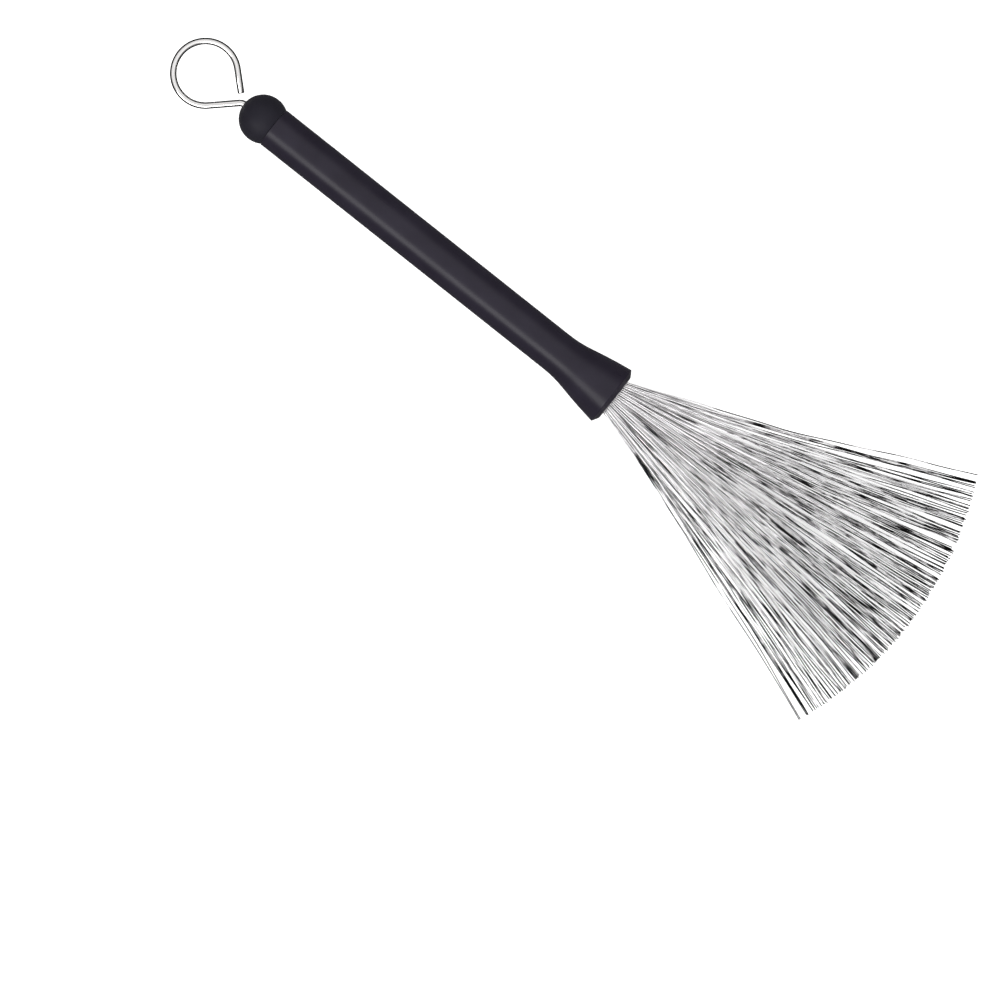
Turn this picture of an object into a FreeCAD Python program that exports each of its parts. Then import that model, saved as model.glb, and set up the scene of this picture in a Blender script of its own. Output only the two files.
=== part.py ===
import FreeCAD, Part
import math
import os
import re

import Sketcher
from FreeCAD import Vector

# A telescoping wire drum brush, drawn out to its full length and lying flat.
# +X runs along the brush to the tips of the bristles, and +Z is up, square to the fan.
# Every length below is in millimetres. Distances with no other note are measured back from
# the front plane of the handle's mouth, along the brush's own axis.
DIMENSIONS = [
    # where the brush lies in the row's frame
    ("mouth_x", 32.7, "front plane of the mouth, from the middle of the brush"),
    ("axis_y", -4.69, "axis of the handle, from the middle of the brush"),
    ("axis_z", 11.3, "axis of the handle, above what the brush lies on"),
    # rubber grip
    ("grip_radius", 7.5, "outside of the straight barrel"),
    ("grip_back", 152.6, "back end, where the ball cap butts on it"),
    ("grip_bevel", 0.35, "bevel round the back end"),
    ("flare_back", 26.0, "where the barrel starts to swell"),
    ("flare_turn", 17.0, "where the swelling changes from hollow to full"),
    ("flare_hollow_radius", 42.0, "radius of the hollow curve"),
    ("flare_full_radius", 200.0, "radius of the full curve"),
    ("mouth_radius", 11.3, "widest radius, at the mouth"),
    ("rim_inner_round", 0.5, "inner rounding of the mouth's rim"),
    ("rim_edge_radius", 8.4, "front edge of the rim"),
    ("rim_edge_round", 1.6, "rounding between that edge and the rim's sloping face"),
    ("rim_slope_front", 0.22, "front end of the sloping face"),
    ("rim_slope_radius", 9.2, "radius at that front end"),
    ("rim_slope_back", 1.35, "back end of the sloping face"),
    ("rim_corner_height", 0.2, "height of the rounded corner behind it"),
    ("rim_corner_back", 1.62, "back end of that corner"),
    ("rim_corner_round", 0.38, "rounding of that corner"),
    ("lip_radius", 5.5, "lip that covers the tube's front end"),
    ("lip_front", 7.0, "front of that lip, where the funnel starts"),
    # aluminium tube inside the grip
    ("tube_radius", 6.0, "outside"),
    ("tube_bore", 5.0, "inside"),
    ("tube_front", 8.0, "front end"),
    ("tube_back", 158.6, "back end"),
    ("tube_bevel", 0.3, "bevel inside each end"),
    ("bead_place", 19.2, "middle of the rolled bead that stops the slider"),
    ("bead_width", 1.6, "whole width of the bead"),
    ("bead_crest", 0.8, "width of the bead's crest"),
    ("bead_depth", 0.3, "depth of the bead"),
    ("fit_gap", 0.02, "gap between pieces that are fixed together"),
    # ball cap
    ("ball_radius", 8.65, "outside"),
    ("ball_centre", 157.05, "middle of the ball"),
    ("socket_back", 159.6, "bottom of the socket that takes the tube"),
    ("cap_hole_radius", 1.42, "hole for the rod"),
    # nylon guide in the back end of the tube
    ("guide_front", 154.5, "front face"),
    ("rod_clearance", 0.05, "running clearance round the rod"),
    # pull rod with its loop
    ("rod_radius", 1.2, "steel wire of the rod"),
    ("rod_front", 16.5, "front end, inside the ferrule"),
    ("neck_radius", 3.0, "bend where the loop leaves the axis"),
    ("loop_radius", 11.3, "loop, to the middle of the wire"),
    ("loop_centre", 182.9, "middle of the loop"),
    ("leg_angle", 43.0, "slope of both legs of the loop, in degrees"),
    ("free_end_y", 2.3, "end of the free leg, off the axis"),
    # slider that centres the brush head
    ("slider_radius", 4.93, "outside"),
    ("slider_front", 20.4, "front face"),
    ("slider_back", 26.4, "back face"),
    ("collar_recess_radius", 2.6, "recess for the collar"),
    ("collar_recess_depth", 2.0, "depth of that recess"),
    ("ring_section", 0.6, "radius of the friction ring's section"),
    ("ring_place", 22.9, "middle of the friction ring"),
    ("ring_outer", 4.97, "outside of the friction ring"),
    ("groove_width", 1.5, "groove for the friction ring"),
    ("collar_radius", 2.3, "collar swaged on the rod"),
    ("collar_length", 1.7, "length of the collar"),
    ("collar_play", 0.15, "end play of the collar in its recess"),
    # ferrule crimped on the roots of the bristles
    ("ferrule_front", 10.0, "front end"),
    ("ferrule_back", 20.0, "back end"),
    ("ferrule_width", 8.85, "outside width"),
    ("ferrule_height", 5.4, "outside height"),
    ("ferrule_round", 1.9, "outside corner radius"),
    ("ferrule_wall", 0.42, "wall"),
    ("crimp_depth", 0.16, "depth of the crimps across its flats"),
    ("crimp_width", 1.1, "width of one crimp"),
    ("solder_front", 15.5, "front of the solder behind the roots"),
    # bristles
    ("bristle_radius", 0.19, "one steel wire"),
    ("bristle_root", 15.4, "back end of each wire"),
    ("root_pitch", 0.39, "spacing of the wires at the ferrule"),
    ("column_count", 20, "columns of wires, side by side"),
    ("layer_count", 11, "wires in the tallest column, one above the other"),
    ("root_thinning", 0.8, "how much less tall the outermost columns are, 1 being nothing left"),
    ("layer_stagger", 0.618, "set of each layer's tips from the last's, in a column's own spread"),
    ("column_spread", 0.84, "spread of a column's tips, as a share of the columns' spacing"),
    ("tip_radius", 130.0, "arc of the tips about the middle of the mouth"),
    ("fan_half_angle", 24.65, "half of the fan, in degrees"),
    ("fan_lean", 2.42, "lean of the whole fan to one side, in degrees"),
    ("fan_rise", 2.8, "how far the outermost layer rises by its tip"),
    ("edge_thinning", 0.95, "how much thinner the fan's edges are, 1 being nothing left"),
    ("bend_length", 3.0, "length of the bend in front of the ferrule"),
    ("curl_share", 0.13, "outward curl, as a share of a wire's own slope"),
]

# places of the two crimps, as shares of the ferrule's length
CRIMP_PLACES = (0.3, 0.7)

PART_FOLDER = "parts"
NAME_COLUMN, VALUE_COLUMN, NOTE_COLUMN = "A", "B", "C"
ORIGIN = (-1, 1)
HORIZONTAL_AXIS = -1
VERTICAL_AXIS = -2

doc = FreeCAD.newDocument("wire_drum_brush")
sheet = doc.addObject("Spreadsheet::Sheet", "dimensions")
for row, (alias, value, note) in enumerate(DIMENSIONS, start=1):
    sheet.set(f"{NAME_COLUMN}{row}", alias)
    sheet.set(f"{VALUE_COLUMN}{row}", str(value))
    sheet.set(f"{NOTE_COLUMN}{row}", note)
    sheet.setAlias(f"{VALUE_COLUMN}{row}", alias)
doc.recompute()

ALIASES = {alias for alias, _, _ in DIMENSIONS}
sub_parts = []


def bound(text):
    """The expression text, with each alias of the sheet given its full path."""
    return re.sub(
        r"[a-z_]+",
        lambda word: "dimensions." + word.group() if word.group() in ALIASES else word.group(),
        text,
    )


def measure(text):
    """The number that an expression has now."""
    return float(sheet.evalExpression(bound(text)))


def place_in_frame(sub_part):
    """Moves a sub-part from the handle's own axis to its place in the row's frame."""
    sub_part.setExpression("Placement.Base.x", bound("mouth_x"))
    sub_part.setExpression("Placement.Base.y", bound("axis_y"))
    sub_part.setExpression("Placement.Base.z", bound("axis_z"))


def new_body(label):
    body = doc.addObject("PartDesign::Body", label)
    body.Label = label
    place_in_frame(body)
    sub_parts.append(body)
    return body


def new_sketch(body, name, plane_role, offset="0"):
    """A sketch on one of the body's own origin planes, or parallel to it."""
    plane = next(p for p in body.Origin.OriginFeatures if p.Role == plane_role)
    sketch = body.newObject("Sketcher::SketchObject", name)
    sketch.AttachmentSupport = (plane, [""])
    sketch.MapMode = "FlatFace"
    if offset != "0":
        sketch.setExpression("AttachmentOffset.Base.z", bound(offset))
    return sketch


def bind(sketch, constraint, text):
    sketch.setExpression(f"Constraints[{constraint}]", bound(text))


def pin_coordinate(sketch, kind, point, text):
    """Ties one coordinate of a point to an expression, whatever its sign."""
    value = measure(text)
    if abs(value) < 1e-9:
        axis = VERTICAL_AXIS if kind == "DistanceX" else HORIZONTAL_AXIS
        sketch.addConstraint(Sketcher.Constraint("PointOnObject", *point, axis))
    elif value > 0:
        bind(sketch, sketch.addConstraint(Sketcher.Constraint(kind, *ORIGIN, *point, value)), text)
    else:
        backwards = sketch.addConstraint(Sketcher.Constraint(kind, *point, *ORIGIN, -value))
        bind(sketch, backwards, f"-({text})")


def pin_point(sketch, point, x_text, y_text):
    pin_coordinate(sketch, "DistanceX", point, x_text)
    pin_coordinate(sketch, "DistanceY", point, y_text)


def join(sketch, kind, first, second):
    sketch.addConstraint(Sketcher.Constraint(kind, *first, *second))


def arc_between(start, end, radius, turns_left):
    """The arc under half a turn from start to end, as a sketch edge, which always runs left."""
    chord = end - start
    side = Vector(-chord.y, chord.x, 0).normalize()
    height = math.sqrt(radius**2 - (chord.Length / 2) ** 2)
    centre = start + chord * 0.5 + side * (height if turns_left else -height)
    first, last = (start, end) if turns_left else (end, start)
    angles = [math.atan2(p.y - centre.y, p.x - centre.x) for p in (first, last)]
    return Part.ArcOfCircle(Part.Circle(centre, Vector(0, 0, 1), radius), *angles)


def draw_outline(sketch, corners):
    """A closed outline. A corner is (x, y), or (x, y, radius, side) when an arc leads to the
    next corner and turns to that side. Every corner and radius stays tied to the sheet."""
    points = [Vector(measure(corner[0]), measure(corner[1]), 0) for corner in corners]
    ends = []
    for number, corner in enumerate(corners):
        start, end = points[number], points[(number + 1) % len(points)]
        if len(corner) == 2:
            edge = sketch.addGeometry(Part.LineSegment(start, end))
            ends.append(((edge, 1), (edge, 2)))
            continue
        turns_left = corner[3] == "left"
        edge = sketch.addGeometry(arc_between(start, end, measure(corner[2]), turns_left))
        ends.append(((edge, 1), (edge, 2)) if turns_left else ((edge, 2), (edge, 1)))
        radius = sketch.addConstraint(Sketcher.Constraint("Radius", edge, measure(corner[2])))
        bind(sketch, radius, corner[2])
    for number, corner in enumerate(corners):
        join(sketch, "Coincident", ends[number - 1][1], ends[number][0])
        pin_point(sketch, ends[number][0], corner[0], corner[1])


def turned_body(label, corners):
    """A solid of revolution about the brush's axis, from an outline of (place, radius)."""
    body = new_body(label)
    sketch = new_sketch(body, label + "_outline", "XY_Plane")
    draw_outline(sketch, corners)
    turning = body.newObject("PartDesign::Revolution", label + "_turning")
    turning.Profile = sketch
    turning.ReferenceAxis = (sketch, ["H_Axis"])
    turning.Angle = 360
    return body


def add_groove(body, name, corners):
    """Turns an outline of (place, radius) out of a body that exists."""
    sketch = new_sketch(body, name + "_outline", "XY_Plane")
    draw_outline(sketch, corners)
    groove = body.newObject("PartDesign::Groove", name)
    groove.Profile = sketch
    groove.ReferenceAxis = (sketch, ["H_Axis"])
    groove.Angle = 360


def rounded_rectangle(width, height, corner):
    """Corners of a rectangle about the axis, with rounded corners."""
    flat_y, flat_z = f"({width}) / 2 - ({corner})", f"({height}) / 2 - ({corner})"
    edge_y, edge_z = f"({width}) / 2", f"({height}) / 2"
    return [
        (f"-({flat_y})", f"-({edge_z})"),
        (flat_y, f"-({edge_z})", corner, "left"),
        (edge_y, f"-({flat_z})"),
        (edge_y, flat_z, corner, "left"),
        (flat_y, edge_z),
        (f"-({flat_y})", edge_z, corner, "left"),
        (f"-({edge_y})", flat_z),
        (f"-({edge_y})", f"-({flat_z})", corner, "left"),
    ]


def add_block(body, kind, name, corners, back, length):
    """A Pad or a Pocket of an outline that is square to the axis, running forwards."""
    sketch = new_sketch(body, name + "_outline", "YZ_Plane", f"-({back})")
    draw_outline(sketch, corners)
    block = body.newObject("PartDesign::" + kind, name)
    block.Profile = sketch
    block.Reversed = kind == "Pocket"
    block.setExpression("Length", bound(length))


def make_grip_sleeve():
    turned_body(
        "grip_sleeve",
        [
            ("-grip_back", "tube_radius + fit_gap"),
            ("-tube_front", "tube_radius + fit_gap"),
            ("-tube_front", "lip_radius"),
            ("-lip_front", "lip_radius"),
            ("-rim_inner_round", "rim_edge_radius - rim_inner_round", "rim_inner_round", "left"),
            ("0", "rim_edge_radius", "rim_edge_round", "left"),
            ("-rim_slope_front", "rim_slope_radius"),
            ("-rim_slope_back", "mouth_radius - rim_corner_height", "rim_corner_round", "left"),
            ("-rim_corner_back", "mouth_radius", "flare_full_radius", "left"),
            (
                "-flare_turn",
                "grip_radius + flare_hollow_radius"
                " - sqrt(flare_hollow_radius ^ 2 - (flare_back - flare_turn) ^ 2)",
                "flare_hollow_radius",
                "right",
            ),
            ("-flare_back", "grip_radius"),
            ("grip_bevel - grip_back", "grip_radius"),
            ("-grip_back", "grip_radius - grip_bevel"),
        ],
    )


def make_handle_tube():
    """A drawn tube with a bead rolled into it, which the slider can't pass."""
    bead = [
        "-bead_place - bead_width / 2",
        "-bead_place - bead_crest / 2",
        "-bead_place + bead_crest / 2",
        "-bead_place + bead_width / 2",
    ]
    depths = ["0", "bead_depth", "bead_depth", "0"]
    inner = [(place, f"tube_bore - {depth}") for place, depth in zip(bead, depths)]
    outer = [(place, f"tube_radius - {depth}") for place, depth in zip(bead, depths)]
    turned_body(
        "handle_tube",
        [
            ("-tube_back", "tube_bore + tube_bevel"),
            ("tube_bevel - tube_back", "tube_bore"),
            *inner,
            ("-tube_front - tube_bevel", "tube_bore"),
            ("-tube_front", "tube_bore + tube_bevel"),
            ("-tube_front", "tube_radius"),
            *reversed(outer),
            ("-tube_back", "tube_radius"),
        ],
    )


def make_ball_cap():
    turned_body(
        "ball_cap",
        [
            ("-grip_back", "tube_radius + fit_gap"),
            (
                "-grip_back",
                "sqrt(ball_radius ^ 2 - (ball_centre - grip_back) ^ 2)",
                "ball_radius",
                "left",
            ),
            ("-ball_centre - sqrt(ball_radius ^ 2 - cap_hole_radius ^ 2)", "cap_hole_radius"),
            ("-socket_back", "cap_hole_radius"),
            ("-socket_back", "tube_radius + fit_gap"),
        ],
    )


def make_guide_bush():
    """A flanged bush in the tube's back end. The rod runs in it and the slider stops on it."""
    turned_body(
        "guide_bush",
        [
            ("fit_gap - socket_back", "rod_radius + rod_clearance"),
            ("-guide_front", "rod_radius + rod_clearance"),
            ("-guide_front", "tube_bore - fit_gap - tube_bevel"),
            ("-guide_front - tube_bevel", "tube_bore - fit_gap"),
            ("-tube_back - fit_gap", "tube_bore - fit_gap"),
            ("-tube_back - fit_gap", "tube_radius"),
            ("fit_gap - socket_back", "tube_radius"),
        ],
    )


def make_pull_rod():
    """One steel wire: the straight rod, a neck, an open loop and its free leg."""
    body = new_body("pull_rod")
    angle = math.radians(measure("leg_angle"))
    loop_radius, neck_radius = measure("loop_radius"), measure("neck_radius")
    centre = Vector(-measure("loop_centre"), 0, 0)
    normal = Vector(0, 0, 1)
    lower_touch = centre + Vector(math.sin(angle), -math.cos(angle), 0) * loop_radius
    upper_touch = centre + Vector(math.sin(angle), math.cos(angle), 0) * loop_radius
    down_leg = Vector(math.cos(angle), math.sin(angle), 0)
    crossing = lower_touch + down_leg * (-lower_touch.y / down_leg.y)
    tangent = neck_radius * math.tan(angle / 2)
    neck_end = crossing + Vector(tangent, 0, 0)
    neck_start = crossing - down_leg * tangent
    free_run = (upper_touch.y - measure("free_end_y")) / down_leg.y
    free_end = upper_touch + Vector(down_leg.x, -down_leg.y, 0) * free_run

    path = new_sketch(body, "rod_path", "XY_Plane")
    rod_front = Vector(-measure("rod_front"), 0, 0)
    rod = path.addGeometry(Part.LineSegment(rod_front, neck_end))
    neck = path.addGeometry(arc_between(neck_start, neck_end, neck_radius, False))
    leg = path.addGeometry(Part.LineSegment(neck_start, lower_touch))
    circle = Part.Circle(centre, normal, loop_radius)
    turn = math.pi / 2 - angle
    loop = path.addGeometry(Part.ArcOfCircle(circle, turn, 2 * math.pi - turn))
    free_leg = path.addGeometry(Part.LineSegment(upper_touch, free_end))
    join(path, "Tangent", (rod, 2), (neck, 1))
    join(path, "Tangent", (neck, 2), (leg, 1))
    join(path, "Tangent", (leg, 2), (loop, 2))
    join(path, "Tangent", (loop, 1), (free_leg, 1))
    pin_point(path, (rod, 1), "-rod_front", "0")
    path.addConstraint(Sketcher.Constraint("PointOnObject", rod, 2, HORIZONTAL_AXIS))
    pin_point(path, (loop, 3), "-loop_centre", "0")
    bind(path, path.addConstraint(Sketcher.Constraint("Radius", loop, loop_radius)), "loop_radius")
    bind(path, path.addConstraint(Sketcher.Constraint("Radius", neck, neck_radius)), "neck_radius")
    pin_coordinate(path, "DistanceY", (free_leg, 2), "free_end_y")

    section = new_sketch(body, "rod_section", "YZ_Plane", "-rod_front")
    wire = section.addGeometry(Part.Circle(Vector(0, 0, 0), normal, measure("rod_radius")))
    join(section, "Coincident", (wire, 3), ORIGIN)
    radius = section.addConstraint(Sketcher.Constraint("Radius", wire, measure("rod_radius")))
    bind(section, radius, "rod_radius")

    pipe = body.newObject("PartDesign::AdditivePipe", "bent_wire")
    pipe.Profile = section
    pipe.Spine = (path, [f"Edge{edge + 1}" for edge in (rod, neck, leg, loop, free_leg)])


def make_slider_bush():
    body = turned_body(
        "slider_bush",
        [
            ("-slider_back", "collar_recess_radius"),
            ("collar_recess_depth - slider_back", "collar_recess_radius"),
            ("collar_recess_depth - slider_back", "rod_radius + rod_clearance"),
            ("-slider_front", "rod_radius + rod_clearance"),
            ("-slider_front", "slider_radius - tube_bevel"),
            ("-slider_front - tube_bevel", "slider_radius"),
            ("tube_bevel - slider_back", "slider_radius"),
            ("-slider_back", "slider_radius - tube_bevel"),
        ],
    )
    groove_bottom = "ring_outer - 2 * ring_section - fit_gap"
    add_groove(
        body,
        "ring_groove",
        [
            ("-ring_place - groove_width / 2", groove_bottom),
            ("-ring_place + groove_width / 2", groove_bottom),
            ("-ring_place + groove_width / 2", "tube_radius"),
            ("-ring_place - groove_width / 2", "tube_radius"),
        ],
    )


def make_friction_ring():
    """A rubber ring of round section, in the slider's groove."""
    ring = doc.addObject("Part::Torus", "friction_ring")
    ring.Label = "friction_ring"
    ring.setExpression("Radius1", bound("ring_outer - ring_section"))
    ring.setExpression("Radius2", bound("ring_section"))
    ring.Placement.Rotation = FreeCAD.Rotation(Vector(0, 1, 0), 90)
    ring.setExpression("Placement.Base.x", bound("mouth_x - ring_place"))
    ring.setExpression("Placement.Base.y", bound("axis_y"))
    ring.setExpression("Placement.Base.z", bound("axis_z"))
    sub_parts.append(ring)


def make_retaining_collar():
    front = "collar_recess_depth - slider_back - collar_play"
    turned_body(
        "retaining_collar",
        [
            (f"{front} - collar_length", "rod_radius + fit_gap"),
            (front, "rod_radius + fit_gap"),
            (front, "collar_radius"),
            (f"{front} - collar_length", "collar_radius"),
        ],
    )


def make_ferrule():
    """A flattened steel sleeve, crimped twice across its flats on the roots of the wires."""
    body = new_body("ferrule")
    length = "ferrule_back - ferrule_front"
    inner = rounded_rectangle(
        "ferrule_width - 2 * ferrule_wall",
        "ferrule_height - 2 * ferrule_wall",
        "ferrule_round - ferrule_wall",
    )
    outer = rounded_rectangle("ferrule_width", "ferrule_height", "ferrule_round")
    add_block(body, "Pad", "ferrule_outside", outer, "ferrule_back", length)
    add_block(body, "Pocket", "ferrule_inside", inner, "ferrule_back", length)
    for number, share in enumerate(CRIMP_PLACES, start=1):
        middle = f"-ferrule_back + {share} * ({length})"
        for side, name in (("", "upper"), ("-", "lower")):
            sketch = new_sketch(body, f"crimp_{name}_{number}_outline", "XZ_Plane")
            back, front = f"{middle} - crimp_width / 2", f"{middle} + crimp_width / 2"
            bottom = f"{side}(ferrule_height / 2 - crimp_depth)"
            outside = f"{side}(ferrule_height)"
            corners = [(back, bottom), (front, bottom), (front, outside), (back, outside)]
            draw_outline(sketch, corners)
            crimp = body.newObject("PartDesign::Pocket", f"crimp_{name}_{number}")
            crimp.Profile = sketch
            crimp.Midplane = True
            crimp.setExpression("Length", bound("2 * ferrule_width"))


def make_root_solder():
    """Solder that fills the back of the ferrule and holds the rod's end."""
    body = new_body("root_solder")
    inner = rounded_rectangle(
        "ferrule_width - 2 * ferrule_wall - 2 * fit_gap",
        "ferrule_height - 2 * ferrule_wall - 2 * fit_gap",
        "ferrule_round - ferrule_wall - fit_gap",
    )
    add_block(body, "Pad", "solder_fill", inner, "ferrule_back", "ferrule_back - solder_front")
    add_groove(
        body,
        "rod_socket",
        [
            ("-ferrule_back - rod_radius", "0"),
            ("fit_gap - rod_front", "0"),
            ("fit_gap - rod_front", "rod_radius + fit_gap"),
            ("-ferrule_back - rod_radius", "rod_radius + fit_gap"),
        ],
    )


def bristle_route(root, tip, curl_share, bend_length, root_length):
    """The middle line of one wire: straight in the ferrule, a bend in front of it, and one long
    gentle curve outwards to the tip. It lies in the plane of the axis direction and the tip."""
    aside = Vector(0, tip.y - root.y, tip.z - root.z)
    rise = aside.Length
    across = aside.normalize()

    def spot(forward, sideways):
        return root + Vector(forward, 0, 0) + across * sideways

    reach = tip.x - root.x
    slope = math.atan2(rise, reach - root_length)
    for _ in range(8):
        bend_radius = bend_length / slope
        bend_end_forward = root_length + bend_radius * math.sin(slope)
        bend_end_side = bend_radius * (1 - math.cos(slope))
        chord = math.atan2(rise - bend_end_side, reach - bend_end_forward)
        slope = chord * (1 - curl_share)
    half_turn = chord - slope
    half_slope = slope / 2
    bend_middle = spot(
        root_length + bend_radius * math.sin(half_slope),
        bend_radius * (1 - math.cos(half_slope)),
    )
    bend_end = spot(bend_end_forward, bend_end_side)
    chord_length = math.hypot(reach - bend_end_forward, rise - bend_end_side)
    sag = chord_length / 2 * math.tan(half_turn / 2)
    curve_middle = spot(
        (bend_end_forward + reach) / 2 + sag * math.sin(chord),
        (bend_end_side + rise) / 2 - sag * math.cos(chord),
    )
    root_end = spot(root_length, 0)
    return Part.Wire(
        [
            Part.LineSegment(root, root_end).toShape(),
            Part.Arc(root_end, bend_middle, bend_end).toShape(),
            Part.Arc(bend_end, curve_middle, tip).toShape(),
        ]
    )


def thinned(share, across):
    """A half ellipse: 1 in the middle, where across is 0, and less by the share at 1 and -1."""
    return math.sqrt(1 - (share * across) ** 2)


def make_bristles():
    """The fan, one node for each column of wires. Each column's tips keep to their own sector,
    and wires of one column that cross when seen from above pass over each other."""
    columns, pitch = int(measure("column_count")), measure("root_pitch")
    lean = measure("fan_lean")
    step_angle = 2 * measure("fan_half_angle") / columns
    root_length = measure("bristle_root - ferrule_front")
    for column in range(columns):
        place = column - (columns - 1) / 2
        across = place / ((columns - 1) / 2)
        layers = round(measure("layer_count") * thinned(measure("root_thinning"), across))
        half_height = pitch * (layers - 1) / 2
        rise = half_height + measure("fan_rise") * thinned(measure("edge_thinning"), across)
        wires = []
        for layer in range(layers):
            up = 2 * layer / (layers - 1) - 1
            shift = measure("column_spread") * (layer * measure("layer_stagger") % 1 - 0.5)
            angle = math.radians(lean + step_angle * (place + shift))
            reach = measure("tip_radius")
            root = Vector(-measure("bristle_root"), place * pitch, up * half_height)
            tip = Vector(math.cos(angle) * reach, math.sin(angle) * reach, up * rise)
            route = bristle_route(
                root, tip, measure("curl_share"), measure("bend_length"), root_length
            )
            section = Part.Circle(root, Vector(1, 0, 0), measure("bristle_radius"))
            outline = Part.Wire([section.toShape()])
            wires.append(route.makePipeShell([outline], True, False))
        group = doc.addObject("Part::Feature", f"bristles_{column + 1:02d}")
        group.Label = f"bristles_{column + 1:02d}"
        group.Shape = Part.Compound(wires)
        place_in_frame(group)
        sub_parts.append(group)


def check_document():
    """Stops if anything failed to compute, or a sub-part isn't made of whole solids."""
    for item in doc.Objects:
        if "Invalid" in item.State or "Error" in item.State:
            raise RuntimeError(f"{item.Name} is {item.State}")
    for sub_part in sub_parts:
        shape = sub_part.Shape
        if shape.isNull() or not shape.isValid() or not shape.Solids or shape.Volume <= 0:
            raise RuntimeError(f"{sub_part.Label} is not a good solid")


def export_sub_parts():
    os.makedirs(PART_FOLDER, exist_ok=True)
    for sub_part in sub_parts:
        sub_part.Shape.exportStep(os.path.join(PART_FOLDER, sub_part.Label + ".step"))


make_grip_sleeve()
make_handle_tube()
make_ball_cap()
make_guide_bush()
make_pull_rod()
make_slider_bush()
make_friction_ring()
make_retaining_collar()
make_ferrule()
make_root_solder()
make_bristles()
doc.recompute()
check_document()
export_sub_parts()

for sub_part in sub_parts:
    box = sub_part.Shape.BoundBox
    print(
        f"{sub_part.Label:18s} {len(sub_part.Shape.Solids):3d} {sub_part.Shape.Volume:9.2f}"
        f"  x {box.XMin:8.2f} {box.XMax:8.2f}  y {box.YMin:7.2f} {box.YMax:7.2f}"
        f"  z {box.ZMin:6.2f} {box.ZMax:6.2f}"
    )
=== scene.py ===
import math
import random

import bpy
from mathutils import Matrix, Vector


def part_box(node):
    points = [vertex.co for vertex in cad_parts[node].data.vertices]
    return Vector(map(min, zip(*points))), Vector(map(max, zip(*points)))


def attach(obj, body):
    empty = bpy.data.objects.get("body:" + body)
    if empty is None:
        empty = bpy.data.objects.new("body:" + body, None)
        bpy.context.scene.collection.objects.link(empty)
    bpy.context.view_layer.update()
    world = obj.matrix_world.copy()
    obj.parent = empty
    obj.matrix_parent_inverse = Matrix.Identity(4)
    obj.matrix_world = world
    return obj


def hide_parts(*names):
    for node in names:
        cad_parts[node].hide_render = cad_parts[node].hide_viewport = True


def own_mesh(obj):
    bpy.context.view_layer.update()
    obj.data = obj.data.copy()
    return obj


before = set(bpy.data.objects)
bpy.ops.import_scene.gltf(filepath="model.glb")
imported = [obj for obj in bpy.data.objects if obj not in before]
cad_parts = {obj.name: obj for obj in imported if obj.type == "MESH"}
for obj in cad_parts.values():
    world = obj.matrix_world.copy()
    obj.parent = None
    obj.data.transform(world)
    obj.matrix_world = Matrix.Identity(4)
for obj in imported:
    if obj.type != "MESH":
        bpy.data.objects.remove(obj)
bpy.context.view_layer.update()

# A telescoping wire drum brush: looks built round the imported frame. Metres throughout.
MM = 0.001
SEED = 7

# The camera looks straight down, turned so that the brush runs from upper left to lower right,
# and it sees as far as a few times its own height.
CAMERA_ROLL = math.radians(38.44)
CAMERA_LENS = 180.0
CAMERA_SENSOR = 36.0
VIEW_WIDTH = 350 * MM
VIEW_CENTRE_FROM_MOUTH = Vector((-9.3 * MM, -52.9 * MM, 0))
CAMERA_REACH = 3

# The fan of wires. Columns lie side by side and layers one above the other.
COLUMNS = 20
TALLEST_COLUMN = 11
ROOT_PITCH = 0.39 * MM
ROOT_THINNING = 0.8
LAYER_STAGGER = 0.618
COLUMN_SPREAD = 0.84
WIRE_RADIUS = 0.19 * MM
TIP_RADIUS = 130 * MM
FAN_HALF_ANGLE = 24.65
FAN_LEAN = 2.42
FAN_RISE = 2.8 * MM
EDGE_THINNING = 0.95
BEND_LENGTH = 3 * MM
CURL_SHARE = 0.13
SOLVER_ROUNDS = 8
WIRE_SIDES = 8
WIRE_STEPS = 72

# Irregularities of the wires: wave lengths with their heights at the tips, sideways and up, the
# run over which they grow, how much each wire's own length and height may differ, and the share of
# the wire over which its direction is taken.
WAVES = (
    (90 * MM, 0.45 * MM, 0.16 * MM),
    (31 * MM, 0.11 * MM, 0.05 * MM),
)
WAVE_GROWTH = 45 * MM
WAVE_LENGTH_RANGE = (0.8, 1.25)
WAVE_HEIGHT_RANGE = (0.5, 1.25)
HEADING_SHARE = 0.01

# The tips: how much shorter wires may be, and, in degrees of the fan, how far the tips wander and
# how they gather into bunches with gaps between.
LENGTH_SCATTER = 0.35 * MM
TIP_SCATTER = 0.11
BUNCH_SPACING = 1.7
BUNCH_SPACING_SCATTER = 0.45
BUNCH_SPACING_LEAST = BUNCH_SPACING / 3
BUNCH_PULL = 0.17

# A few wires stand apart from the rest, at the fan's own edges: column, layer, tip in degrees. The
# others end between the body's edges.
STRAYS = {(0, 1): -24.35, (0, 5): -23.85, (COLUMNS - 1, 4): 24.15}
BODY_EDGES = (-22.7, 22.9)

# Painted dark reflections on the wires, as dashes: how much of the pattern is each wire's own,
# the run over which the dashes halve in length, how much rarer they are at the ferrule, how much
# denser to the tip, how much painted shade darkens the fan's edges, how narrow those edges are,
# how much darker the steel's colour gets to the tip, and its colours, from painted dark reflection
# to the steel's own bright tone.
OWN_DASHES = 0.46
DASH_HALVING = 0.035
ROOT_LIGHTENING = 0.054
TIP_DARKENING = 0.31
EDGE_PAINTED_SHADE = 0.075
EDGE_SHADE_NARROWNESS = 8.0
TIP_COLOUR_DARKENING = 0.4
BRISTLE_STEEL_AND_PAINTED_REFLECTION_COLOURS = [
    (0.41, (0.008, 0.008, 0.008)),
    (0.438, (0.07, 0.067, 0.069)),
    (0.465, (0.40, 0.39, 0.397)),
    (0.50, (0.88, 0.865, 0.875)),
]

# The painted dark reflections' pattern: dashes per metre and per degree of the fan, shared by
# neighbours and not.
SHARED_DASHES = (13.0, 4.6, 1.0)
SEPARATE_DASHES = (34.0, 60.0, 1.0)
BRISTLE_ROUGHNESS = 0.32

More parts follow.
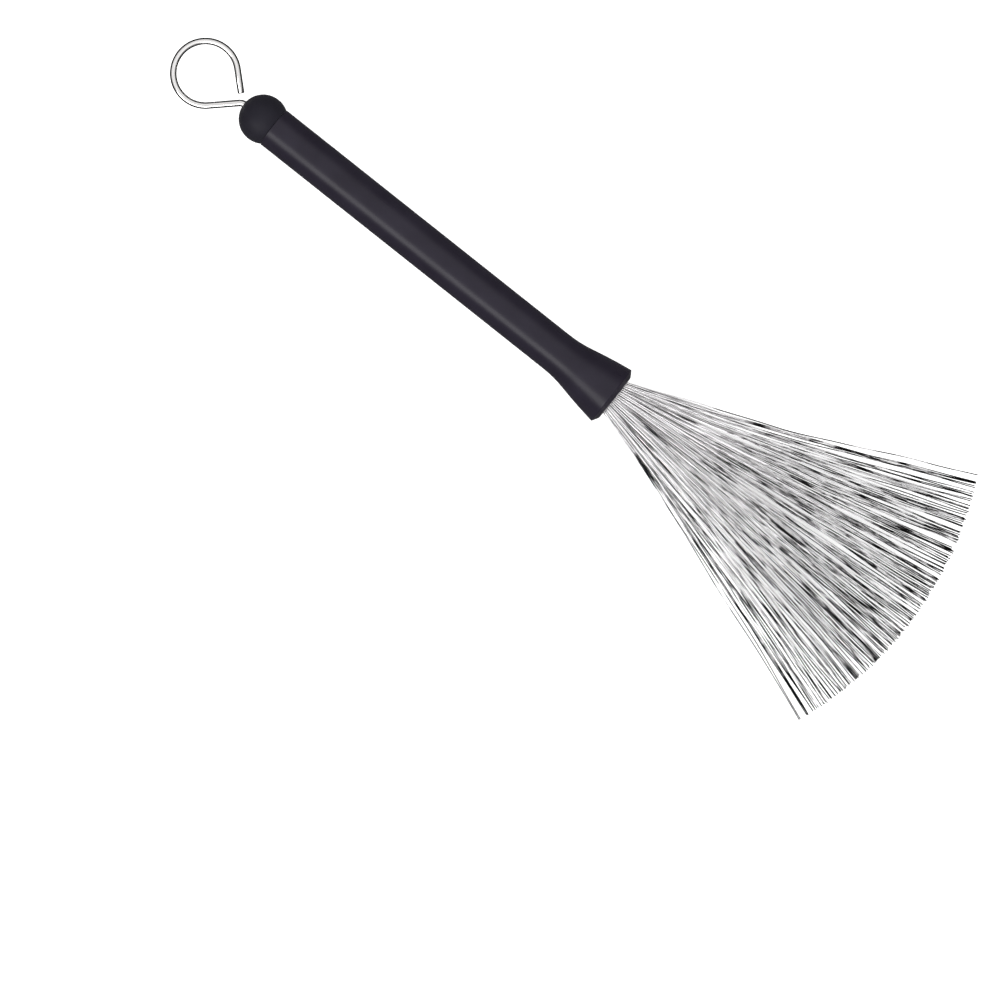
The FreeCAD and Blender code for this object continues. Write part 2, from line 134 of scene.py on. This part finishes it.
# The rod's drawn lines, per metre and per degree round it, with its colours and roughness.
ROD_LINES = (22.0, 0.16, 1.0)
ROD_COLOURS = [
    (0.36, (0.45, 0.44, 0.435)),
    (0.5, (0.74, 0.73, 0.725)),
    (0.62, (0.90, 0.89, 0.885)),
]
ROD_ROUGHNESS = [(0.35, 0.17), (0.6, 0.09)]

# Noise scales are in spots per metre. Where a noise blends two looks, the blend starts here, and
# ends at BLEND_END unless a material has its own end.
BLEND_START = 0.3
BLEND_END = 0.75

# Rubber: mottling, worn and glossy areas drawn out along the brush, the depth of the grain, and a
# faint bloom, seen where the surface turns away.
RUBBER_MOTTLING = 90.0
RUBBER_WEAR = 160.0
RUBBER_WEAR_STRETCH = (0.4, 2.0, 2.0)
RUBBER_WEAR_END = 0.8
RUBBER_GRAIN_DEPTH = 0.05 * MM
RUBBER_SHEEN = 0.05
RUBBER_SHEEN_ROUGHNESS = 0.4

# Metal inside: drawn lines and duller patches. Nylon: clouds and a fine grain.
METAL_LINES = 5200.0
METAL_LINES_END = 0.7
METAL_PATCHES = 320.0
NYLON_CLOUDS = 260.0
NYLON_GRAIN = 3000.0
NYLON_GRAIN_DEPTH = 0.03 * MM
NYLON_GRAIN_STRENGTH = 0.3
NYLON_ROUGHNESS = 0.5

# The studio: a white floor, the sky in reflections by its height, its even light on soft
# surfaces and behind the floor's edge, and the lamps' places and sizes in metres, and watts.
FLOOR_HALF_SIDE = 3.0
FLOOR_COLOUR = 0.86
FLOOR_ROUGHNESS = 0.9
FLOOR_GLOW = 0.45
SKY_STOPS = [(0.0, 0.02), (0.36, 0.05), (0.56, 0.45), (0.74, 1.0), (1.0, 1.0)]
SKY_EVEN = 1.0
SKY_BEHIND = 0.8
SKY_STRENGTH = 1.15
KEY_OFFSET, KEY_SIZE, KEY_POWER = Vector((0, -0.645, 0.62)), (0.9, 0.4), 5.3
FILL_OFFSET, FILL_SIZE, FILL_POWER = Vector((0.1, 0.5, 0.9)), (0.8, 0.5), 3.0

# The pull rod: straight, a neck, a leg, an open loop and its free leg.
ROD_RADIUS = 1.2 * MM
NECK_RADIUS = 3 * MM
LOOP_RADIUS = 11.3 * MM
LEG_ANGLE = math.radians(43)
FREE_END_Y = 2.3 * MM
ROD_SIDES = 40
ROD_BEVEL = 0.12 * MM
ARC_STEP = math.radians(2.5)

# Map coordinates. On a wire: metres along it, stretched to its tip by the halving of the dashes,
# and the direction of its tip in degrees. On the rod: metres along it and degrees round it.
WIRE_MAP = "along_wire"

sleeve_low, sleeve_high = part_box("grip_sleeve")
sleeve_middle = (sleeve_low + sleeve_high) / 2
MOUTH = Vector((sleeve_high.x, sleeve_middle.y, sleeve_middle.z))
ROOT_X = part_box("bristles_01")[0].x
FERRULE_FRONT_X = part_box("ferrule")[1].x


# ---------------------------------------------------------------- materials


def new_material(name):
    """A node material with an empty Principled shader."""
    material = bpy.data.materials.new(name)
    material.use_nodes = True
    tree = material.node_tree
    shader = tree.nodes["Principled BSDF"]
    return material, tree, shader


def add_noise(tree, vector, scale=1.0, detail=3.0, roughness=0.55):
    noise = tree.nodes.new("ShaderNodeTexNoise")
    noise.inputs["Scale"].default_value = scale
    noise.inputs["Detail"].default_value = detail
    noise.inputs["Roughness"].default_value = roughness
    tree.links.new(vector, noise.inputs["Vector"])
    return noise.outputs["Fac"]


def add_stretch(tree, vector, stretch):
    """The same coordinates, stretched along each axis."""
    mapping = tree.nodes.new("ShaderNodeMapping")
    mapping.inputs["Scale"].default_value = stretch
    tree.links.new(vector, mapping.inputs["Vector"])
    return mapping.outputs["Vector"]


def add_ramp(tree, value, stops):
    """Colours or greys between the stops (position, colour)."""
    ramp = tree.nodes.new("ShaderNodeValToRGB")
    elements = ramp.color_ramp.elements
    while len(elements) < len(stops):
        elements.new(1.0)
    for element, (position, colour) in zip(elements, stops):
        element.position = position
        element.color = (*colour, 1)
    tree.links.new(value, ramp.inputs["Fac"])
    return ramp.outputs["Color"]


def add_blend(tree, value, first, last, end=BLEND_END):
    """From one colour or grey to another, over the middle of a noise."""
    return add_ramp(tree, value, [(BLEND_START, first), (end, last)])


def add_bump(tree, shader, height, distance, strength):
    bump = tree.nodes.new("ShaderNodeBump")
    bump.inputs["Distance"].default_value = distance
    bump.inputs["Strength"].default_value = strength
    tree.links.new(height, bump.inputs["Height"])
    tree.links.new(bump.outputs["Normal"], shader.inputs["Normal"])


def add_math(tree, operation, *values):
    """A Math node. Each value is a socket or a float."""
    node = tree.nodes.new("ShaderNodeMath")
    node.operation = operation
    for value, socket in zip(values, node.inputs):
        if isinstance(value, float):
            socket.default_value = value
        else:
            tree.links.new(value, socket)
    return node.outputs[0]


def object_coordinates(tree):
    return tree.nodes.new("ShaderNodeTexCoord").outputs["Object"]


def grey(value):
    return (value, value, value)


def rubber_material(name, dark, light, smooth, rough, specular, grain_scale, grain_strength):
    """Moulded black rubber: faint mottling, uneven gloss and a fine grain."""
    material, tree, shader = new_material(name)
    place = object_coordinates(tree)
    mottling = add_noise(tree, place, RUBBER_MOTTLING, detail=4.0)
    tree.links.new(add_blend(tree, mottling, dark, light), shader.inputs["Base Color"])
    wear = add_noise(tree, add_stretch(tree, place, RUBBER_WEAR_STRETCH), RUBBER_WEAR)
    roughness = add_blend(tree, wear, grey(smooth), grey(rough), RUBBER_WEAR_END)
    tree.links.new(roughness, shader.inputs["Roughness"])
    grain = add_noise(tree, place, grain_scale, detail=2.0)
    add_bump(tree, shader, grain, RUBBER_GRAIN_DEPTH, grain_strength)
    shader.inputs["Specular IOR Level"].default_value = specular
    shader.inputs["Sheen Weight"].default_value = RUBBER_SHEEN
    shader.inputs["Sheen Roughness"].default_value = RUBBER_SHEEN_ROUGHNESS
    return material


def drawn_metal_material(name, dark, light, smooth, rough, streak):
    """Metal with a fine texture, drawn out along the axes where the streak is small, and duller
    patches."""
    material, tree, shader = new_material(name)
    place = object_coordinates(tree)
    lines = add_noise(tree, add_stretch(tree, place, streak), METAL_LINES)
    colour = add_blend(tree, lines, dark, light, METAL_LINES_END)
    tree.links.new(colour, shader.inputs["Base Color"])
    patches = add_noise(tree, place, METAL_PATCHES)
    roughness = add_blend(tree, patches, grey(smooth), grey(rough))
    tree.links.new(roughness, shader.inputs["Roughness"])
    shader.inputs["Metallic"].default_value = 1.0
    return material


def nylon_material(name, dark, light):
    """Moulded nylon: clouded and finely grained."""
    material, tree, shader = new_material(name)
    place = object_coordinates(tree)
    clouds = add_noise(tree, place, NYLON_CLOUDS)
    tree.links.new(add_blend(tree, clouds, dark, light), shader.inputs["Base Color"])
    grain = add_noise(tree, place, NYLON_GRAIN, detail=2.0)
    add_bump(tree, shader, grain, NYLON_GRAIN_DEPTH, NYLON_GRAIN_STRENGTH)
    shader.inputs["Roughness"].default_value = NYLON_ROUGHNESS
    return material


def bristle_material():
    """Bright drawn spring wire with painted dark reflections: dark dashes run along the wires,
    shorter and denser to the tips, and wires side by side share some of them. Painted shade
    darkens the fan's edges, and the steel's colour gets darker to the tips."""
    material, tree, shader = new_material("bristle_steel_painted_reflections_look")
    along = tree.nodes.new("ShaderNodeUVMap")
    along.uv_map = WIRE_MAP
    shared = add_noise(tree, add_stretch(tree, along.outputs["UV"], SHARED_DASHES))
    own = add_noise(tree, add_stretch(tree, along.outputs["UV"], SEPARATE_DASHES))
    value = add_math(tree, "MULTIPLY_ADD", shared, 1 - OWN_DASHES, ROOT_LIGHTENING)
    value = add_math(tree, "MULTIPLY_ADD", own, OWN_DASHES, value)
    split = tree.nodes.new("ShaderNodeSeparateXYZ")
    tree.links.new(along.outputs["UV"], split.inputs["Vector"])
    run, direction = split.outputs["X"], split.outputs["Y"]
    # painted shade: the wires darken towards the fan's two edges
    aside = add_math(tree, "ABSOLUTE", add_math(tree, "SUBTRACT", direction, FAN_LEAN))
    across = add_math(tree, "DIVIDE", aside, FAN_HALF_ANGLE)
    edge_shade = add_math(tree, "POWER", across, EDGE_SHADE_NARROWNESS)
    value = add_math(tree, "MULTIPLY_ADD", edge_shade, -EDGE_PAINTED_SHADE, value)
    value = add_math(tree, "MULTIPLY_ADD", run, -TIP_DARKENING, value)
    brightness = add_math(tree, "MULTIPLY_ADD", run, -TIP_COLOUR_DARKENING, 1.0)
    scale = tree.nodes.new("ShaderNodeVectorMath")
    scale.operation = "SCALE"
    # the ramp turns the dash pattern into painted dark reflections on the bright steel
    tree.links.new(add_ramp(tree, value, BRISTLE_STEEL_AND_PAINTED_REFLECTION_COLOURS), scale.inputs[0])
    tree.links.new(brightness, scale.inputs["Scale"])
    tree.links.new(scale.outputs["Vector"], shader.inputs["Base Color"])
    shader.inputs["Metallic"].default_value = 1.0
    shader.inputs["Roughness"].default_value = BRISTLE_ROUGHNESS
    return material


def rod_material():
    """Bright drawn rod. Fine lines run along it and round its bends."""
    material, tree, shader = new_material("rod_steel_look")
    along = tree.nodes.new("ShaderNodeUVMap")
    along.uv_map = WIRE_MAP
    stretched = add_stretch(tree, along.outputs["UV"], ROD_LINES)
    lines = add_noise(tree, stretched, detail=4.0, roughness=0.65)
    tree.links.new(add_ramp(tree, lines, ROD_COLOURS), shader.inputs["Base Color"])
    roughness = add_ramp(tree, lines, [(at, grey(value)) for at, value in ROD_ROUGHNESS])
    tree.links.new(roughness, shader.inputs["Roughness"])
    shader.inputs["Metallic"].default_value = 1.0
    return material


# ---------------------------------------------------------------- the fan of wires


def smooth_start(value):
    """From 0 to 1 with soft ends."""
    value = min(1.0, max(0.0, value))
    return value * value * (3 - 2 * value)


def wire_line(root, tip, root_length):
    """Solves the middle line of a wire: straight in the ferrule, a bend, one long outward curve.
    Returns a function from the share of its length to a point, and its length."""
    aside = Vector((0, tip.y - root.y, tip.z - root.z))
    rise = aside.length
    across = aside.normalized()
    reach = tip.x - root.x
    slope = math.atan2(rise, reach - root_length)
    for _ in range(SOLVER_ROUNDS):
        bend_radius = BEND_LENGTH / slope
        bend_forward = root_length + bend_radius * math.sin(slope)
        bend_side = bend_radius * (1 - math.cos(slope))
        chord = math.atan2(rise - bend_side, reach - bend_forward)
        slope = chord * (1 - CURL_SHARE)
    half_turn = chord - slope
    chord_length = math.hypot(reach - bend_forward, rise - bend_side)
    curve_radius = chord_length / 2 / math.sin(half_turn)
    curve_length = 2 * half_turn * curve_radius
    length = root_length + BEND_LENGTH + curve_length

    def point(share):
        run = share * length
        if run < root_length:
            forward, side = run, 0.0
        elif run < root_length + BEND_LENGTH:
            turned = (run - root_length) / bend_radius
            forward = root_length + bend_radius * math.sin(turned)
            side = bend_radius * (1 - math.cos(turned))
        else:
            turned = slope + (run - root_length - BEND_LENGTH) / curve_radius
            forward = bend_forward + curve_radius * (math.sin(turned) - math.sin(slope))
            side = bend_side + curve_radius * (math.cos(slope) - math.cos(turned))
        return root + Vector((forward, 0, 0)) + across * side

    return point, length


def wavy_points(point, length, root_length, lift, draw):
    """Samples a wire's line and adds its own small waves, which grow from the ferrule on."""
    phases = [(draw.uniform(0, math.tau), draw.uniform(0, math.tau)) for _ in WAVES]
    stretches = [draw.uniform(*WAVE_LENGTH_RANGE) for _ in WAVES]
    heights = [draw.uniform(*WAVE_HEIGHT_RANGE) for _ in WAVES]
    points = []
    for step in range(WIRE_STEPS + 1):
        share = step / WIRE_STEPS
        run = share * length
        here = point(share)
        heading = point(min(1.0, share + HEADING_SHARE)) - point(max(0.0, share - HEADING_SHARE))
        side = Vector((-heading.y, heading.x, 0)).normalized()
        growth = smooth_start((run - root_length) / WAVE_GROWTH)
        aside = upward = 0.0
        for (wave, wide, high), phase, stretch, height in zip(WAVES, phases, stretches, heights):
            turn = math.tau * run / (wave * stretch)
            aside += wide * height * math.sin(turn + phase[0])
            upward += high * height * math.sin(turn + phase[1])
        points.append(here + growth * (side * aside + Vector((0, 0, upward * lift))))
    return points


def add_tube(points, radii, sides, vertices, faces):
    """Adds a closed round tube along the points. Returns the distance of each point from the
    first one, along the tube."""
    first = len(vertices)
    runs = [0.0]
    for before, after in zip(points, points[1:]):
        runs.append(runs[-1] + (after - before).length)
    last = len(points) - 1
    for number, (centre, radius) in enumerate(zip(points, radii)):
        heading = (points[min(last, number + 1)] - points[max(0, number - 1)]).normalized()
        side = Vector((-heading.y, heading.x, 0)).normalized()
        above = heading.cross(side)
        for corner in range(sides):
            turn = math.tau * corner / sides
            vertices.append(centre + radius * (math.cos(turn) * side + math.sin(turn) * above))
    for ring in range(last):
        near = first + ring * sides
        far = near + sides
        for corner in range(sides):
            beside = (corner + 1) % sides
            faces.append((near + corner, near + beside, far + beside, far + corner))
    end = first + last * sides
    faces.append(tuple(first + corner for corner in reversed(range(sides))))
    faces.append(tuple(end + corner for corner in range(sides)))
    return runs


def add_piece(name, vertices, faces, map_points, material):
    """A mesh with map coordinates at its vertices, smooth but for the ends of its tubes."""
    mesh = bpy.data.meshes.new(name)
    mesh.from_pydata(vertices, [], faces)
    layer_map = mesh.uv_layers.new(name=WIRE_MAP)
    for loop in mesh.loops:
        layer_map.data[loop.index].uv = map_points[loop.vertex_index]
    mesh.polygons.foreach_set("use_smooth", [len(p.vertices) == 4 for p in mesh.polygons])
    mesh.materials.append(material)
    piece = bpy.data.objects.new(name, mesh)
    bpy.context.scene.collection.objects.link(piece)
    return piece


def rod_points():
    """The rod's middle line, from its front end back and round the loop."""
    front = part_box("pull_rod")[1].x
    loop_centre_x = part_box("pull_rod")[0].x + ROD_RADIUS + LOOP_RADIUS
    tangent = NECK_RADIUS * math.tan(LEG_ANGLE / 2)
    neck_x = loop_centre_x + LOOP_RADIUS / math.sin(LEG_ANGLE) + tangent
    free_run = (LOOP_RADIUS * math.cos(LEG_ANGLE) - FREE_END_Y) / math.sin(LEG_ANGLE)
    # runs as a length and 0, bends as a radius and an angle, positive to the left
    course = [
        (front - neck_x, 0),
        (NECK_RADIUS, LEG_ANGLE),
        (LOOP_RADIUS / math.tan(LEG_ANGLE) - tangent, 0),
        (LOOP_RADIUS, -(math.pi + 2 * LEG_ANGLE)),
        (free_run, 0),
    ]
    here, heading = Vector((front, MOUTH.y, MOUTH.z)), math.pi
    points = [here.copy()]
    for size, turn in course:
        steps = max(1, round(abs(turn) / ARC_STEP))
        chord = 2 * size * math.sin(abs(turn) / steps / 2) if turn else size
        for _ in range(steps):
            heading += turn / steps / 2
            here = here + chord * Vector((math.cos(heading), math.sin(heading), 0))
            heading += turn / steps / 2
            points.append(here)
    return points


def make_rod():
    """The pull rod as a smooth tube, in place of the CAD rod's coarser one."""
    points = rod_points()
    points.insert(1, points[0] + (points[1] - points[0]).normalized() * ROD_BEVEL)
    points.insert(-1, points[-1] + (points[-2] - points[-1]).normalized() * ROD_BEVEL)
    radii = [ROD_RADIUS] * len(points)
    radii[0] = radii[-1] = ROD_RADIUS - ROD_BEVEL
    vertices, faces = [], []
    runs = add_tube(points, radii, ROD_SIDES, vertices, faces)
    degrees = [360 * corner / ROD_SIDES for corner in range(ROD_SIDES)]
    map_points = [(run, min(turn, 360 - turn)) for run in runs for turn in degrees]
    rod = add_piece("rod_wire", vertices, faces, map_points, rod_material())
    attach(rod, "pull_rod")
    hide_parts("pull_rod")


def bunch_centres(draw):
    """Directions that the tips gather at, unevenly spaced over the fan."""
    centres, angle = [], -FAN_HALF_ANGLE
    while angle < FAN_HALF_ANGLE:
        centres.append(angle)
        angle += max(BUNCH_SPACING_LEAST, draw.gauss(BUNCH_SPACING, BUNCH_SPACING_SCATTER))
    return centres


def thinned(share, across):
    """A half ellipse: 1 in the middle, where across is 0, and less by the share at 1 and -1."""
    return math.sqrt(1 - (share * across) ** 2)


def tip_angle(column, layer, bunches, draw):
    """Direction of a wire's tip from the mouth, in degrees: an even fan, gathered in bunches."""
    shift = COLUMN_SPREAD * (layer * LAYER_STAGGER % 1 - 0.5)
    even = 2 * FAN_HALF_ANGLE / COLUMNS * (column - (COLUMNS - 1) / 2 + shift)
    nearest = min(bunches, key=lambda bunch: abs(bunch - even))
    angle = even + BUNCH_PULL * (nearest - even) + draw.gauss(0, TIP_SCATTER)
    lowest, highest = BODY_EDGES
    return FAN_LEAN + STRAYS.get((column, layer), min(highest, max(lowest, angle)))


def make_wires(column, bunches, material, draw):
    """The wires of one column, in place of that column's plain CAD wires."""
    place = column - (COLUMNS - 1) / 2
    across = place / ((COLUMNS - 1) / 2)
    thickness = thinned(EDGE_THINNING, across)
    layers = round(TALLEST_COLUMN * thinned(ROOT_THINNING, across))
    half_height = ROOT_PITCH * (layers - 1) / 2
    root_length = FERRULE_FRONT_X - ROOT_X
    vertices, faces, map_points = [], [], []
    for layer in range(layers):
        up = 2 * layer / (layers - 1) - 1
        root = Vector((ROOT_X, MOUTH.y + place * ROOT_PITCH, MOUTH.z + up * half_height))
        degrees = tip_angle(column, layer, bunches, draw)
        angle = math.radians(degrees)
        reach = TIP_RADIUS - abs(draw.gauss(0, LENGTH_SCATTER))
        rise = up * (half_height + thickness * FAN_RISE)
        tip = MOUTH + Vector((math.cos(angle) * reach, math.sin(angle) * reach, rise))
        point, length = wire_line(root, tip, root_length)
        points = wavy_points(point, length, root_length, thickness, draw)
        runs = add_tube(points, [WIRE_RADIUS] * len(points), WIRE_SIDES, vertices, faces)
        dash_runs = [run + run * run / (2 * DASH_HALVING) for run in runs]
        map_points += [(dash_run, degrees) for dash_run in dash_runs for _ in range(WIRE_SIDES)]
    piece = add_piece(f"wires_{column + 1:02d}", vertices, faces, map_points, material)
    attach(piece, "pull_rod")
    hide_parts(f"bristles_{column + 1:02d}")
    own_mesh(piece)


# ---------------------------------------------------------------- CAD nodes' materials


def dress(material, *nodes):
    """Gives CAD nodes a finished material."""
    for node in nodes:
        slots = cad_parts[node].data.materials
        slots.clear()
        slots.append(material)


def dress_cad_nodes():
    grip = rubber_material(
        "grip_rubber_look",
        dark=(0.0110, 0.0090, 0.0154),
        light=(0.0150, 0.0127, 0.0208),
        smooth=0.27,
        rough=0.35,
        specular=0.17,
        grain_scale=2600.0,
        grain_strength=0.22,
    )
    ball = rubber_material(
        "ball_rubber_look",
        dark=(0.0088, 0.0080, 0.0128),
        light=(0.0126, 0.0117, 0.0178),
        smooth=0.5,
        rough=0.62,
        specular=0.12,
        grain_scale=3400.0,
        grain_strength=0.35,
    )
    ring = rubber_material(
        "ring_rubber_look",
        dark=(0.02, 0.02, 0.02),
        light=(0.03, 0.03, 0.03),
        smooth=0.4,
        rough=0.5,
        specular=0.2,
        grain_scale=3000.0,
        grain_strength=0.1,
    )
    tube = drawn_metal_material(
        "tube_look",
        dark=(0.66, 0.67, 0.69),
        light=(0.8, 0.8, 0.82),
        smooth=0.25,
        rough=0.38,
        streak=(0.05, 1.0, 1.0),
    )
    sleeve = drawn_metal_material(
        "ferrule_look",
        dark=(0.45, 0.45, 0.46),
        light=(0.66, 0.66, 0.67),
        smooth=0.25,
        rough=0.4,
        streak=(0.05, 1.0, 1.0),
    )
    solder = drawn_metal_material(
        "solder_look",
        dark=(0.5, 0.5, 0.51),
        light=(0.68, 0.68, 0.69),
        smooth=0.35,
        rough=0.55,
        streak=(1.0, 1.0, 1.0),
    )
    brass = drawn_metal_material(
        "brass_look",
        dark=(0.55, 0.38, 0.14),
        light=(0.72, 0.54, 0.24),
        smooth=0.2,
        rough=0.35,
        streak=(1.0, 0.1, 0.1),
    )
    nylon = nylon_material("nylon_look", dark=(0.70, 0.69, 0.63), light=(0.80, 0.79, 0.74))
    dress(grip, "grip_sleeve")
    dress(ball, "ball_cap")
    dress(ring, "friction_ring")
    dress(tube, "handle_tube")
    dress(sleeve, "ferrule")
    dress(solder, "root_solder")
    dress(brass, "retaining_collar")
    dress(nylon, "guide_bush", "slider_bush")


# ---------------------------------------------------------------- studio


def add_floor():
    side = FLOOR_HALF_SIDE
    mesh = bpy.data.meshes.new("floor")
    corners = [(-side, -side, 0), (side, -side, 0), (side, side, 0), (-side, side, 0)]
    mesh.from_pydata(corners, [], [(0, 1, 2, 3)])
    material, _, shader = new_material("floor_white")
    shader.inputs["Base Color"].default_value = (*grey(FLOOR_COLOUR), 1)
    shader.inputs["Roughness"].default_value = FLOOR_ROUGHNESS
    shader.inputs["Specular IOR Level"].default_value = 0.0
    shader.inputs["Emission Color"].default_value = (1, 1, 1, 1)
    shader.inputs["Emission Strength"].default_value = FLOOR_GLOW
    mesh.materials.append(material)
    floor = bpy.data.objects.new("floor", mesh)
    bpy.context.scene.collection.objects.link(floor)
    floor.visible_glossy = False
    floor.visible_diffuse = False


def add_area_light(name, offset, size, power, seen_in_gloss=True):
    """A soft rectangular light that faces the handle. Its long side lies along the brush."""
    light = bpy.data.lights.new(name, "AREA")
    light.shape = "RECTANGLE"
    light.size, light.size_y = size
    light.energy = power
    lamp = bpy.data.objects.new(name, light)
    lamp.location = Vector((0, MOUTH.y, MOUTH.z)) + offset
    lamp.rotation_euler = (-offset).to_track_quat("-Z", "Y").to_euler()
    lamp.visible_glossy = seen_in_gloss
    bpy.context.scene.collection.objects.link(lamp)


def add_world():
    """Bright overhead and dim near the horizon in reflections, so that metal shows light and
    dark, and even for soft surfaces and behind the floor's edge."""
    world = bpy.data.worlds.new("studio")
    world.use_nodes = True
    bpy.context.scene.world = world
    tree = world.node_tree
    background = tree.nodes["Background"]
    coordinates = tree.nodes.new("ShaderNodeTexCoord")
    split = tree.nodes.new("ShaderNodeSeparateXYZ")
    tree.links.new(coordinates.outputs["Generated"], split.inputs["Vector"])
    stops = [(height, grey(value)) for height, value in SKY_STOPS]
    colour = add_ramp(tree, split.outputs["Z"], stops)
    rays = tree.nodes.new("ShaderNodeLightPath")
    for kind, value in (("Is Diffuse Ray", SKY_EVEN), ("Is Camera Ray", SKY_BEHIND)):
        mix = tree.nodes.new("ShaderNodeMix")
        mix.data_type = "RGBA"
        tree.links.new(rays.outputs[kind], mix.inputs["Factor"])
        tree.links.new(colour, mix.inputs["A"])
        mix.inputs["B"].default_value = (*grey(value), 1)
        colour = mix.outputs["Result"]
    tree.links.new(colour, background.inputs["Color"])
    background.inputs["Strength"].default_value = SKY_STRENGTH


def add_camera():
    camera = bpy.data.cameras.new("camera")
    camera.lens = CAMERA_LENS
    camera.sensor_width = CAMERA_SENSOR
    holder = bpy.data.objects.new("camera", camera)
    bpy.context.scene.collection.objects.link(holder)
    distance = VIEW_WIDTH * CAMERA_LENS / CAMERA_SENSOR
    camera.clip_end = CAMERA_REACH * distance
    holder.location = MOUTH + VIEW_CENTRE_FROM_MOUTH + Vector((0, 0, distance))
    holder.rotation_euler = (0, 0, CAMERA_ROLL)
    bpy.context.scene.camera = holder


def build():
    draw = random.Random(SEED)
    steel = bristle_material()
    bunches = bunch_centres(draw)
    for column in range(COLUMNS):
        make_wires(column, bunches, steel, draw)
    make_rod()
    dress_cad_nodes()
    add_floor()
    add_world()
    add_area_light("key", KEY_OFFSET, KEY_SIZE, KEY_POWER)
    add_area_light("fill", FILL_OFFSET, FILL_SIZE, FILL_POWER, seen_in_gloss=False)
    add_camera()
    bpy.context.scene.view_settings.view_transform = "Standard"


build()
